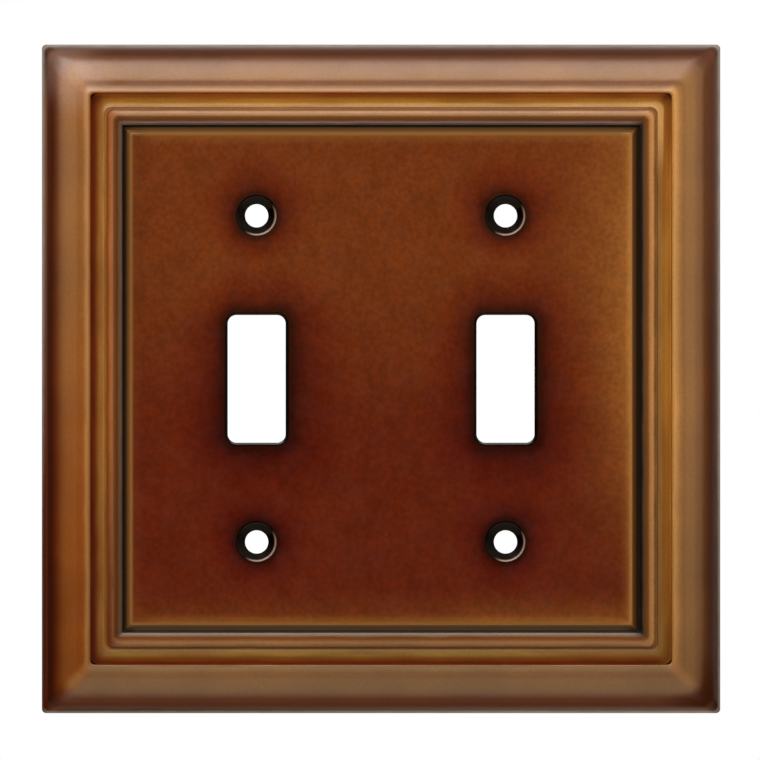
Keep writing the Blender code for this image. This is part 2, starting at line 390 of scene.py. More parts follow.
def panel_body():
    """Panel blank: a thin tongue all round, and a raised field with rounded edges."""
    middle = (0.0, 0.0)
    rows = []
    outline = [(TONGUE_INSET, PANEL_BACK_RISE), (TONGUE_INSET, TONGUE_RISE)]
    outline.append((FIELD_INSET, TONGUE_RISE))
    centre = (FIELD_TOP_INSET, FIELD_RISE - FIELD_EDGE_RADIUS)
    outline += arc(centre, FIELD_EDGE_RADIUS, FIELD_EDGE_RADIUS, 145, 90, 7)
    for inset, rise in outline:
        half = (HALF_X - inset, HALF_Z - inset)
        rows.append(rounded_rectangle(middle, half, FIELD_CORNER_RADIUS, rise))
    return add_piece("centre_panel_stained", loft(rows, closed=False))


def slot_cutter(x):
    """Cutter for a toggle slot with a rounded lip at the face."""
    half = (SLOT_HALF_X, SLOT_HALF_Z)
    rows = [rounded_rectangle((x, 0.0), half, SLOT_CORNER, PANEL_BACK_RISE - MM)]
    for across, rise in arc((SLOT_LIP, FIELD_RISE - SLOT_LIP), SLOT_LIP, SLOT_LIP, 180, 90, 8):
        half = (SLOT_HALF_X + across, SLOT_HALF_Z + across)
        rows.append(rounded_rectangle((x, 0.0), half, SLOT_CORNER + across, rise))
    half = (SLOT_HALF_X + SLOT_LIP, SLOT_HALF_Z + SLOT_LIP)
    rows.append(rounded_rectangle((x, 0.0), half, SLOT_CORNER + SLOT_LIP, FIELD_RISE + MM))
    return add_piece("slot_cutter", loft(rows, closed=False))


def screw_cutter(x, z):
    """Cutter for a countersunk screw hole with a softened rim."""
    soft = COUNTERSINK_SOFTNESS
    slope = COUNTERSINK_DEPTH / (COUNTERSINK_RADIUS - SCREW_HOLE_RADIUS)
    outline = [
        (SCREW_HOLE_RADIUS, PANEL_BACK_RISE - MM),
        (SCREW_HOLE_RADIUS, FIELD_RISE - COUNTERSINK_DEPTH),
        (COUNTERSINK_RADIUS - soft, FIELD_RISE - soft * slope),
        (COUNTERSINK_RADIUS - soft * 0.4, FIELD_RISE - soft * slope * 0.45),
        (COUNTERSINK_RADIUS, FIELD_RISE - soft * slope * 0.15),
        (COUNTERSINK_RADIUS + soft * 0.5, FIELD_RISE),
        (COUNTERSINK_RADIUS + soft * 0.5, FIELD_RISE + MM),
    ]
    rows = [circle((x, z), radius, rise) for radius, rise in outline]
    return add_piece("screw_cutter", loft(rows, closed=False))


def panel_piece():
    """The centre panel with its slots and screw holes."""
    panel = panel_body()
    cutters = []
    for side_x in (-1, 1):
        cutters.append(slot_cutter(side_x * GANG_X))
        for side_z in (-1, 1):
            cutters.append(screw_cutter(side_x * GANG_X, side_z * SCREW_Z))
    cut(panel, cutters)
    return panel


# ---------------------------------------------------------------- materials


# Places of the colour sockets on a Mix node
MIX_COLOR_A = 6
MIX_COLOR_B = 7
MIX_COLOR_RESULT = 2

# Half the width, in millimetres, over which one side's colour turns into the next one's
MITRE_BLEND = 2.0

# Depth of the surfaces' fine relief
BUMP_STRENGTH = 0.5
BUMP_DISTANCE = 0.03 * MM


def tone(red, green, blue):
    """Linear colour of a screen tone given in 0 to 255."""
    channels = []
    for value in (red, green, blue):
        share = value / 255
        channels.append(share / 12.92 if share <= 0.04045 else ((share + 0.055) / 1.055) ** 2.4)
    return (*channels, 1.0)


class Graph:
    """A short way to write a material's nodes."""

    def __init__(self, name):
        self.material = bpy.data.materials.new(name)
        self.material.use_nodes = True
        self.nodes = self.material.node_tree.nodes
        self.links = self.material.node_tree.links
        self.shader = self.nodes["Principled BSDF"]
        self.position = self.nodes.new("ShaderNodeTexCoord").outputs["Object"]
        split = self.nodes.new("ShaderNodeSeparateXYZ")
        self.links.new(self.position, split.inputs[0])
        self.x = self.math("MULTIPLY", split.outputs["X"], 1 / MM)
        self.z = self.math("MULTIPLY", split.outputs["Z"], 1 / MM)

    def put(self, socket, value):
        """Link a socket, or set its value."""
        if isinstance(value, bpy.types.NodeSocket):
            self.links.new(value, socket)
        else:
            socket.default_value = value

    def math(self, operation, *values):
        """One sum on numbers or sockets."""
        node = self.nodes.new("ShaderNodeMath")
        node.operation = operation
        for socket, value in zip(node.inputs, values):
            self.put(socket, value)
        return node.outputs[0]

    def times(self, *values):
        """Product of numbers or sockets."""
        product = values[0]
        for value in values[1:]:
            product = self.math("MULTIPLY", product, value)
        return product

    def mix(self, factor, first, second, blend="MIX"):
        """Blend two colours."""
        node = self.nodes.new("ShaderNodeMix")
        node.data_type = "RGBA"
        node.blend_type = blend
        self.put(node.inputs["Factor"], factor)
        self.put(node.inputs[MIX_COLOR_A], first)
        self.put(node.inputs[MIX_COLOR_B], second)
        return node.outputs[MIX_COLOR_RESULT]

    def fade(self, value, start, end, low=0.0, high=1.0):
        """Smooth change from low to high while a value goes from start to end."""
        node = self.nodes.new("ShaderNodeMapRange")
        node.interpolation_type = "SMOOTHSTEP"
        self.put(node.inputs["Value"], value)
        self.put(node.inputs["From Min"], start)
        self.put(node.inputs["From Max"], end)
        self.put(node.inputs["To Min"], low)
        self.put(node.inputs["To Max"], high)
        return node.outputs[0]

    def noise(self, size, detail=2.0, stretch=(1.0, 1.0, 1.0)):
        """Noise between 0 and 1 whose marks are about size millimetres across."""
        mapping = self.nodes.new("ShaderNodeMapping")
        self.put(mapping.inputs["Vector"], self.position)
        mapping.inputs["Scale"].default_value = [1 / (size * MM * share) for share in stretch]
        node = self.nodes.new("ShaderNodeTexNoise")
        node.inputs["Scale"].default_value = 1.0
        node.inputs["Detail"].default_value = detail
        self.links.new(mapping.outputs[0], node.inputs["Vector"])
        return node.outputs[0]

    def ramp(self, factor, stops):
        """Colour ramp from places between 0 and 1 to colours."""
        node = self.nodes.new("ShaderNodeValToRGB")
        elements = node.color_ramp.elements
        while len(elements) < len(stops):
            elements.new(0.5)
        for element, (place_on_ramp, color) in zip(elements, stops):
            element.position = place_on_ramp
            element.color = color
        self.put(node.inputs[0], factor)
        return node.outputs[0]

    def band(self, value, rise_start, rise_end, fall_start, fall_end):
        """1 inside a band of values, with a soft change at both its ends."""
        risen = self.fade(value, rise_start, rise_end)
        return self.times(risen, self.fade(value, fall_end, fall_start))

    def scaled(self, value, share, change):
        """A value made larger or smaller by a change where a share is 1."""
        return self.times(value, self.math("MULTIPLY_ADD", share, change, 1.0))

    def length(self, across, up):
        """Length of a flat vector."""
        squares = self.math("ADD", self.math("POWER", across, 2.0), self.math("POWER", up, 2.0))
        return self.math("SQRT", squares)

    def toward(self, axis, other, sign=1.0):
        """1 on the side of the plate that lies along an axis, 0 on the other three."""
        along = self.times(getattr(self, axis), sign)
        aside = self.math("ABSOLUTE", getattr(self, other))
        return self.fade(self.math("SUBTRACT", along, aside), -MITRE_BLEND, MITRE_BLEND)

    def beyond(self, axis, place_out):
        """How far out a point is from the nearer of two places, in millimetres.

        The places are at the same distance to both sides of the plate's middle, and the
        result keeps the axis's direction.
        """
        along = getattr(self, axis)
        nearer = self.times(self.math("SIGN", along), place_out / MM)
        return self.math("SUBTRACT", along, nearer)

    def sides(self):
        """1 on each side of the plate by its name, with a soft change at the mitres."""
        return {
            "all": 1.0,
            "left": self.toward("x", "z", -1.0),
            "right": self.toward("x", "z"),
            "top": self.toward("z", "x"),
            "bottom": self.toward("z", "x", -1.0),
        }

    def moulding_inset(self):
        """Inset from the plate's outer edge, in millimetres, as the moulding carries it."""
        node = self.nodes.new("ShaderNodeAttribute")
        node.attribute_name = INSET_LAYER
        return node.outputs["Fac"]

    def from_edges(self):
        """Distances in millimetres from the plate's nearer side and from its nearer end."""
        from_side = self.math("SUBTRACT", HALF_X / MM, self.math("ABSOLUTE", self.x))
        from_end = self.math("SUBTRACT", HALF_Z / MM, self.math("ABSOLUTE", self.z))
        return from_side, from_end

    def lacquer(self, color, gloss, roughness_range):
        """Stained wood under satin lacquer: an uneven sheen and a faint texture."""
        self.put(self.shader.inputs["Specular IOR Level"], gloss)
        roughness = self.fade(self.noise(3.0, 3.0), 0.2, 0.8, *roughness_range)
        texture = self.math("ADD", self.noise(0.6, 3.0), self.noise(2.5, 1.0))
        self.surface(color, roughness, texture)

    def surface(self, color, roughness, bump_height):
        """Colour, roughness and a fine relief."""
        self.put(self.shader.inputs["Base Color"], color)
        self.put(self.shader.inputs["Roughness"], roughness)
        bump = self.nodes.new("ShaderNodeBump")
        bump.inputs["Strength"].default_value = BUMP_STRENGTH
        bump.inputs["Distance"].default_value = BUMP_DISTANCE
        self.put(bump.inputs["Height"], bump_height)
        self.links.new(bump.outputs[0], self.shader.inputs["Normal"])


# Tones of the moulding by inset, in millimetres: dark glaze lies at the outer edge, in
# the step, in the quirk and in the groove, and the crowns are rubbed back to gold.
MOULDING_TONES = [
    (0.0, (52, 22, 8)),
    (1.2, (66, 25, 7)),
    (1.9, (76, 29, 8)),
    (2.3, (88, 40, 12)),
    (2.8, (102, 52, 17)),
    (3.3, (116, 66, 23)),
    (3.8, (129, 78, 28)),
    (4.6, (141, 89, 33)),
    (6.2, (144, 91, 33)),
    (6.6, (140, 84, 29)),
    (7.5, (143, 88, 33)),
    (8.0, (156, 102, 46)),
    (8.35, (170, 116, 58)),
    (8.7, (154, 98, 40)),
    (9.0, (124, 66, 18)),
    (9.2, (92, 32, 4)),
    (9.7, (104, 44, 8)),
    (10.2, (124, 68, 18)),
    (10.7, (146, 94, 32)),
    (11.2, (152, 102, 42)),
    (11.5, (150, 100, 44)),
    (11.85, (124, 72, 22)),
    (12.2, (140, 86, 36)),
    (12.7, (160, 104, 54)),
    (13.3, (140, 86, 40)),
    (13.6, (112, 64, 28)),
    (14.0, (112, 68, 36)),
    (14.4, (136, 102, 78)),
    (14.75, (96, 76, 60)),
    (14.95, (20, 12, 8)),
]
TONE_SPAN = 16.0

# How a side's moulding differs from those tones: the side, the insets in millimetres where a
# change starts, is full, begins to fade and has gone, and the change in red, green and blue.
# Most of these changes are painted light and shade: each side's bands are painted lighter or
# darker as the lamps light that side, and some highlight lines are painted in.
WHOLE_SIDE = (-2.0, -1.0, 17.0, 18.0)
SIDE_TONES = [
    ("left", (-2.0, -1.0, 7.6, 8.3), (0.87, 0.87, 0.87)),
    ("left", (8.35, 8.6, 8.8, 9.0), (0.84, 0.84, 0.84)),
    ("left", (8.95, 9.05, 9.3, 9.6), (1.25, 0.95, 0.85)),
    ("left", (9.3, 9.6, 10.0, 10.3), (0.97, 0.82, 0.85)),
    ("left", (9.0, 10.4, 17.0, 18.0), (0.88, 0.88, 0.88)),
    ("left", (10.2, 10.5, 10.8, 11.0), (1.03, 1.0, 1.4)),
    ("left", (11.2, 11.4, 11.6, 11.8), (1.2, 1.2, 1.1)),
    ("left", (11.4, 11.6, 11.9, 12.1), (1.15, 1.05, 1.0)),
    ("left", (12.0, 12.2, 13.2, 13.6), (0.99, 0.83, 0.74)),
    ("left", (12.0, 12.2, 12.4, 12.6), (1.1, 1.0, 0.7)),
    ("left", (14.0, 14.45, 17.0, 18.0), (0.68, 0.56, 0.36)),
    ("right", WHOLE_SIDE, (0.9, 1.02, 1.0)),
    ("right", (-2.0, -1.0, 1.3, 1.6), (1.45, 1.2, 0.9)),
    ("right", (3.2, 3.9, 4.4, 5.0), (0.9, 0.8, 0.72)),
    ("right", (6.6, 8.1, 9.1, 9.4), (1.5, 1.5, 1.5)),
    ("right", (10.7, 11.1, 11.7, 12.0), (0.86, 0.8, 0.66)),
    ("right", (11.9, 12.2, 13.4, 13.9), (1.4, 1.4, 1.35)),
    ("right", (13.8, 14.0, 14.2, 14.5), (0.85, 0.75, 0.7)),
    ("right", (14.0, 14.45, 17.0, 18.0), (0.08, 0.08, 0.08)),
    ("top", (1.8, 2.2, 2.6, 3.0), (1.0, 1.45, 2.0)),
    ("top", (3.8, 4.8, 6.2, 6.8), (0.95, 1.05, 1.3)),
    ("top", (6.4, 6.9, 7.6, 8.1), (0.65, 0.65, 0.65)),
    ("top", (7.3, 7.5, 7.8, 8.0), (1.0, 0.9, 0.65)),
    ("top", (7.7, 8.1, 8.8, 9.0), (0.85, 0.82, 0.72)),
    ("top", (8.0, 8.2, 8.4, 8.6), (1.15, 1.2, 1.15)),
    ("top", (8.95, 9.05, 9.3, 9.6), (1.3, 1.05, 1.0)),
    ("top", (9.0, 10.4, 17.0, 18.0), (1.25, 1.25, 1.25)),
    ("top", (10.0, 10.4, 11.0, 11.3), (1.05, 1.28, 1.1)),
    ("top", (11.3, 11.45, 11.6, 11.8), (1.12, 1.3, 1.4)),
    ("top", (11.5, 11.7, 11.95, 12.2), (0.95, 1.05, 2.0)),
    ("top", (12.0, 12.4, 13.0, 13.6), (0.82, 1.06, 1.55)),
    ("top", (12.0, 12.2, 12.4, 12.6), (0.9, 0.88, 0.9)),
    ("top", (12.3, 12.5, 12.7, 12.9), (1.15, 1.12, 1.12)),
    ("top", (13.8, 14.1, 14.3, 14.5), (0.93, 1.0, 1.3)),
    ("top", (14.35, 14.6, 17.0, 18.0), (0.25, 0.25, 0.25)),
    ("bottom", WHOLE_SIDE, (0.9, 1.02, 1.0)),
    ("bottom", (0.1, 0.5, 2.0, 2.8), (2.0, 2.0, 2.0)),
    ("bottom", (0.2, 0.5, 0.9, 1.3), (1.5, 2.1, 2.1)),
    ("bottom", (1.0, 1.4, 2.2, 2.8), (1.25, 1.18, 0.75)),
    ("bottom", (2.7, 3.0, 3.4, 3.8), (1.25, 1.05, 0.8)),
    ("bottom", (8.4, 8.55, 8.75, 8.9), (1.15, 1.05, 0.95)),
    ("bottom", (8.7, 8.85, 8.95, 9.05), (0.78, 0.7, 0.6)),
    ("bottom", (8.9, 9.0, 9.7, 10.3), (1.45, 1.3, 1.3)),
    ("bottom", (9.0, 10.4, 11.5, 11.9), (1.22, 1.22, 1.22)),
    ("bottom", (10.9, 11.1, 11.3, 11.5), (1.15, 1.2, 0.75)),
    ("bottom", (11.2, 11.4, 11.6, 11.8), (0.82, 0.82, 0.65)),
    ("bottom", (11.95, 12.2, 12.4, 12.7), (0.95, 0.88, 0.75)),
    ("bottom", (13.2, 13.6, 14.2, 14.5), (1.3, 1.1, 0.95)),
    ("bottom", (14.3, 14.6, 17.0, 18.0), (1.08, 0.92, 0.75)),
]

# The same where the change also comes and goes along the side: the heights in millimetres
# where it starts, is full, begins to fade and has gone are before its red, green and blue.
# They paint a grey reflection along the left's outer edge, a paler painted sheen on the
# left's upper part, and a darker bead low on the left.
SIDE_RUNS = [
    ("left", (-2.0, -1.0, 0.7, 1.2), (-80.0, -70.0, 50.0, 60.0), (3.1, 3.3, 1.6)),
    ("left", (0.5, 0.8, 1.4, 1.8), (5.0, 50.0, 54.0, 60.0), (1.5, 1.6, 1.6)),
    ("left", (12.1, 12.4, 12.9, 13.2), (-80.0, -70.0, -50.0, -5.0), (0.5, 0.35, 0.3)),
]

# Painted reflections near the corners: a pale sheen and a haze at the top left, and a bright
# painted highlight on the cove's lip at the top right. The middle's x and z and the reach, in
# millimetres, the insets as above, how much of the stain is covered, and the tone there
PAINTED_CORNER_SHEEN = [
    ((-57.0, 56.0), 9.0, (2.4, 4.0, 8.2, 8.8), 0.45, (180, 142, 118)),
    ((-59.5, 58.5), 10.0, (0.5, 1.2, 2.8, 4.2), 0.4, (150, 116, 98)),
    ((50.5, 48.0), 13.0, (10.3, 10.8, 11.5, 11.75), 0.7, (202, 152, 84)),
]

# Changes in the lacquer's shine: glaze that was not wiped off is dull
SIDE_GLOSS = [
    ("all", (8.8, 9.05, 10.6, 11.5), 0.25),
    ("left", (-2.0, -1.0, 0.3, 0.6), 0.8),
    ("right", (-2.0, -1.0, 0.6, 0.9), 0.77),
    ("left", (6.3, 6.9, 7.5, 8.0), 0.6),
    ("left", (11.5, 11.8, 12.4, 12.7), 0.3),
    ("left", (14.3, 14.6, 17.0, 18.0), 0.85),
    ("right", (14.0, 14.45, 17.0, 18.0), 0.15),
    ("top", (7.6, 7.9, 8.3, 8.6), 0.75),
    ("top", (-2.0, -1.0, 0.3, 0.6), 0.76),
    ("top", (2.8, 3.1, 3.4, 3.7), 0.88),
    ("top", (10.9, 11.1, 11.4, 11.6), 0.8),
    ("bottom", (1.0, 1.4, 2.2, 2.8), 0.65),
    ("bottom", (2.8, 3.1, 3.4, 3.9), 0.72),
    ("bottom", (12.0, 12.2, 12.5, 12.8), 0.6),
    ("bottom", (13.4, 13.8, 14.4, 14.7), 0.6),
]


def side_band(graph, inset, sides, side, limits):
    """1 on one side of the plate, between two insets."""
    return graph.times(sides[side], graph.band(inset, *limits))


def hip_wear_and_highlight(graph, inset):
    """1 along the rails' hips, where the mitres cross the crown, and more at the bottom: rubbed
    wear and a painted highlight.
    """
    away = graph.math("ABSOLUTE", graph.math("SUBTRACT", *graph.from_edges()))
    worn = graph.times(graph.fade(away, 2.4, 0.0), graph.band(inset, 3.2, 5.0, 8.0, 8.8))
    worn = graph.scaled(worn, graph.fade(graph.z, -40.0, -50.0), 0.8)
    top_right = graph.fade(graph.math("MINIMUM", graph.x, graph.z), 40.0, 48.0)
    return graph.times(worn, graph.math("SUBTRACT", 1.0, top_right))


def near_corner(graph, inset, corner, reach, limits):
    """1 at a corner's middle, between two insets, and 0 further off than a reach."""
    x, z = corner
    away = graph.length(graph.math("SUBTRACT", graph.x, x), graph.math("SUBTRACT", graph.z, z))
    return graph.times(graph.fade(away, reach, 0.0), graph.band(inset, *limits))


def moulding_tone(graph, inset, sides):
    """Colour of the moulding: its tones by inset, changed side by side.

    The bead's tones lie a little further in or out from side to side, and the step and cove
    are painted a lighter gold at the right and the top, as painted light.
    """
    slip = graph.times(graph.math("SUBTRACT", sides["right"], sides["bottom"]), 0.2)
    upper = graph.times(graph.math("MAXIMUM", sides["left"], sides["top"]), 0.12)
    slip = graph.math("SUBTRACT", slip, upper)
    slip = graph.times(slip, graph.band(inset, 10.8, 11.2, 13.2, 14.0))
    share = graph.math("DIVIDE", graph.math("ADD", inset, slip), TONE_SPAN)
    stops = [(place_in / TONE_SPAN, tone(*screen)) for place_in, screen in MOULDING_TONES]
    color = graph.ramp(share, stops)
    # Painted light: the step and cove are painted a lighter gold at the right and the top, where
    # lamps would light them.
    ends = graph.fade(graph.math("ABSOLUTE", graph.z), 50.0, 34.0, 0.4, 1.0)
    wiped = graph.math("MAXIMUM", graph.times(sides["right"], ends), sides["top"])
    wiped = graph.times(wiped, 0.85, graph.band(inset, 8.85, 9.05, 9.9, 10.8))
    color = graph.mix(wiped, color, tone(168, 102, 35))
    for side, limits, change in SIDE_TONES:
        share = side_band(graph, inset, sides, side, limits)
        color = graph.mix(share, color, (*change, 1.0), "MULTIPLY")
    for side, limits, heights, change in SIDE_RUNS:
        share = side_band(graph, inset, sides, side, limits)
        share = graph.times(share, graph.band(graph.z, *heights))
        color = graph.mix(share, color, (*change, 1.0), "MULTIPLY")
    return color


def streaked_cove(graph, inset, sides, color):
    """Glaze wiped along the rails, so that it is left in streaks in the cove."""
    level = graph.math("MAXIMUM", sides["top"], sides["bottom"])
    upright_streak = graph.noise(1.8, 1.0, stretch=(1.0, 1.0, 9.0))
    level_streak = graph.noise(1.8, 1.0, stretch=(9.0, 1.0, 1.0))
    streak = graph.mix(level, upright_streak, level_streak)
    cove = graph.band(inset, 8.9, 9.2, 11.5, 12.0)
    pooled = graph.times(graph.fade(streak, 0.6, 0.35), cove)
    color = graph.mix(pooled, color, (0.84, 0.74, 0.66, 1.0), "MULTIPLY")
    return graph.mix(cove, color, (1.09, 1.14, 1.2, 1.0), "MULTIPLY")


def moulding_finish(name):
    """Golden brown stain with dark glaze left in the moulding's low places."""
    graph = Graph(name)
    sides = graph.sides()
    wander = graph.times(graph.math("SUBTRACT", graph.noise(7.0), 0.5), 0.4)
    inset = graph.math("ADD", graph.moulding_inset(), wander)
    color = moulding_tone(graph, inset, sides)

    red = graph.times(sides["left"], graph.fade(inset, 8.3, 7.6), graph.fade(graph.z, 35.0, -40.0))
    color = graph.mix(red, color, (1.08, 0.74, 0.4, 1.0), "MULTIPLY")
    color = streaked_cove(graph, inset, sides, color)
    # The hips are painted lighter: partly rubbed wear, partly a painted highlight.
    color = graph.mix(graph.times(hip_wear_and_highlight(graph, inset), 0.35), color, tone(172, 114, 52))
    # Painted reflections and a painted highlight near the corners.
    for corner, reach, limits, cover, screen in PAINTED_CORNER_SHEEN:
        painted_sheen = near_corner(graph, inset, corner, reach, limits)
        color = graph.mix(graph.times(painted_sheen, cover), color, tone(*screen))
    # Painted shade at the bottom right corner's outer part, which also has duller lacquer.
    corner_shade_and_dull = near_corner(graph, inset, (59.5, -58.5), 10.0, (0.8, 1.4, 2.6, 4.2))
    color = graph.mix(graph.times(corner_shade_and_dull, 0.8), color, tone(70, 28, 8))
    pale = side_band(graph, inset, sides, "right", (0.5, 1.0, 2.2, 3.2))
    pale = graph.times(pale, graph.fade(graph.z, -10.0, 50.0, 0.0, 0.5))
    color = graph.mix(pale, color, tone(112, 68, 44))

    cloud = graph.fade(graph.noise(14.0, 3.0), 0.3, 0.7, 0.92, 1.08)
    speckle = graph.fade(graph.noise(0.5, 3.0), 0.2, 0.8, 0.92, 1.08)
    # Painted light: the moulding is painted darker towards the bottom, where less lamp light
    # falls.
    painted_light_above = graph.fade(graph.z, -62.0, 10.0, 0.7, 1.0)
    color = graph.mix(1.0, color, graph.times(cloud, speckle, painted_light_above), "MULTIPLY")

    gloss = graph.scaled(0.5, red, -0.5)
    gloss = graph.scaled(gloss, corner_shade_and_dull, -0.8)
    for side, limits, change in SIDE_GLOSS:
        gloss = graph.scaled(gloss, side_band(graph, inset, sides, side, limits), change - 1.0)
    gloss = graph.times(gloss, rim_gloss(graph, inset, sides))
    graph.lacquer(color, gloss, (0.28, 0.36))
    return graph.material


def rim_gloss(graph, inset, sides):
    """Shine of the outer edge: full at the top, and dull where the plate is handled."""
    down_left = graph.fade(graph.math("ADD", graph.x, graph.z), -12.0, -95.0, 0.0, 0.95)
    left = graph.times(down_left, sides["left"])
    bottom = graph.times(graph.fade(graph.x, 50.0, -60.0, 0.0, 0.65), sides["bottom"])
    right = graph.times(graph.fade(graph.z, 30.0, -50.0, 0.0, 0.7), sides["right"])
    dull = graph.math("MAXIMUM", graph.math("MAXIMUM", left, bottom), right)
    kept = graph.scaled(1.0, graph.times(dull, graph.fade(inset, 1.2, 0.6)), -1.0)
    bright = graph.times(graph.fade(graph.x, -30.0, 50.0), sides["bottom"])
    bright = graph.times(bright, graph.fade(inset, 1.6, 0.9))
    return graph.scaled(graph.times(kept, kept), bright, 0.6)


def distance_to_slot(graph):
    """Distance in millimetres from the nearer slot's edge."""
    from_gang = graph.math("SUBTRACT", graph.math("ABSOLUTE", graph.x), GANG_X / MM)
    from_gang = graph.math("ABSOLUTE", from_gang)
    across = graph.math("SUBTRACT", from_gang, (SLOT_HALF_X - SLOT_CORNER) / MM)
    up = graph.math("SUBTRACT", graph.math("ABSOLUTE", graph.z), (SLOT_HALF_Z - SLOT_CORNER) / MM)
    reach = graph.length(graph.math("MAXIMUM", across, 0.0), graph.math("MAXIMUM", up, 0.0))
    return graph.math("SUBTRACT", reach, SLOT_CORNER / MM)


def distance_to_screw_hole(graph):
    """Distance in millimetres from the nearest countersink's rim."""
    across = graph.math("SUBTRACT", graph.math("ABSOLUTE", graph.x), GANG_X / MM)
    up = graph.math("SUBTRACT", graph.math("ABSOLUTE", graph.z), SCREW_Z / MM)
    return graph.math("SUBTRACT", graph.length(across, up), COUNTERSINK_RADIUS / MM)


# Share of the stain's light that the dark glaze round an opening lets through, by the
# distance from the opening's edge in millimetres. The greyer band from about 0.7 to 1.4
# millimetres out is a painted reflection off the opening's lip, not glaze.
GLAZE_AND_GLINT_SHARES = [
    (0.0, (0.01, 0.01, 0.01)),
    (0.5, (0.02, 0.02, 0.02)),
    (0.68, (0.18, 0.22, 0.3)),
    (0.9, (0.24, 0.26, 0.36)),
    (1.4, (0.26, 0.23, 0.3)),
    (2.0, (0.36, 0.24, 0.3)),
    (3.0, (0.53, 0.33, 0.32)),
    (4.0, (0.64, 0.42, 0.36)),
    (6.0, (0.78, 0.55, 0.48)),
    (8.5, (0.9, 0.7, 0.64)),
    (11.5, (0.98, 0.88, 0.86)),
    (14.0, (1.0, 1.0, 1.0)),
]
GLAZE_REACH = 15.0

# Tones of the panel's moulded edge by inset, from the groove up to the worn arris, and the
# share of TONE_SPAN where their ramp starts
EDGE_TONES = [
    (15.1, (52, 36, 22)),
    (15.5, (88, 60, 33)),
    (15.9, (108, 74, 40)),
    (16.3, (132, 90, 46)),
    (16.7, (138, 88, 38)),
]
EDGE_START = 0.9

# How a side's edge, and the field beside it, differ, in the same columns as the moulding's
# side changes. These are painted light and shade: the groove is painted darker at the left and
# right, the bottom edge lighter and greyer as if lit from below, and bands of the top and right
# edges painted lighter or darker as the lamps light them.
EDGE_CHANGES = [
    ("left", (0.0, 1.0, 15.5, 15.9), (0.5, 0.5, 0.5)),
    ("right", (0.0, 1.0, 15.5, 15.9), (0.6, 0.55, 0.55)),
    ("right", (15.6, 15.8, 16.0, 16.3), (0.84, 0.74, 0.5)),
    ("right", (16.0, 16.4, 17.1, 17.6), (1.25, 1.25, 1.25)),
    ("top", (14.9, 15.1, 15.4, 15.7), (1.4, 1.4, 1.1)),
    ("top", (15.2, 16.0, 16.6, 16.9), (0.85, 0.85, 0.85)),
    ("bottom", (0.0, 1.0, 15.4, 15.8), (2.4, 3.2, 4.6)),
    ("bottom", (15.6, 15.8, 16.0, 16.2), (0.97, 1.2, 1.6)),
    ("bottom", (16.2, 16.4, 16.6, 16.8), (0.82, 0.84, 0.74)),
    ("bottom", (16.8, 17.0, 17.4, 18.0), (1.15, 1.15, 1.05)),
]


def stained_field(graph):
    """Red brown stain, golden along the bottom, painted lighter towards the top, and with a
    painted sheen towards the right.
    """
    # Painted light: the field is painted lighter towards the top.
    height = graph.math("ADD", graph.z, graph.times(graph.noise(22.0), 16.0))
    color = graph.mix(graph.fade(height, -6.0, 32.0), tone(90, 28, 5), tone(104, 47, 14))
    bottom = graph.fade(graph.x, 5.0, 25.0, 0.5, 1.0)
    bottom = graph.times(graph.fade(graph.z, -38.0, -47.0), bottom)
    color = graph.mix(bottom, color, tone(116, 62, 20))
    # Painted sheen: the field is painted lighter and more golden towards the right.
    right = graph.math("DIVIDE", graph.math("SUBTRACT", graph.x, 27.0), 18.0)
    right = graph.math("POWER", graph.math("MAXIMUM", right, 0.0), 2.5)
    right = graph.times(right, 0.68, graph.fade(graph.z, -42.0, 10.0, 0.05, 1.0))
    right = graph.times(right, graph.fade(graph.z, 24.0, 46.0, 1.0, 0.6))
    color = graph.mix(graph.math("MINIMUM", right, 0.8), color, tone(150, 92, 36))
    speckle = graph.fade(graph.noise(0.9, 4.0), 0.25, 0.75, 0.84, 1.16)
    cloud = graph.fade(graph.noise(7.0, 3.0), 0.3, 0.7, 0.93, 1.07)
    return graph.mix(1.0, color, graph.times(speckle, cloud), "MULTIPLY")


def moulded_edge(graph, inset, sides, color):
    """Gold worn along the field's rim, and the edge that falls from it into the groove."""
    gold = graph.times(graph.fade(inset, 18.8, 16.9), graph.fade(graph.x, -46.0, -40.0, 0.04, 0.2))
    gold = graph.math("ADD", gold, graph.times(graph.fade(inset, 17.1, 16.5), 0.5))
    color = graph.mix(gold, color, tone(150, 104, 46))
    stops = [(place_in / TONE_SPAN - EDGE_START, tone(*screen)) for place_in, screen in EDGE_TONES]
    share = graph.math("SUBTRACT", graph.math("DIVIDE", inset, TONE_SPAN), EDGE_START)
    color = graph.mix(graph.fade(inset, 16.7, 16.4), color, graph.ramp(share, stops))
    for side, limits, change in EDGE_CHANGES:
        share = side_band(graph, inset, sides, side, limits)
        color = graph.mix(share, color, (*change, 1.0), "MULTIPLY")
    return color


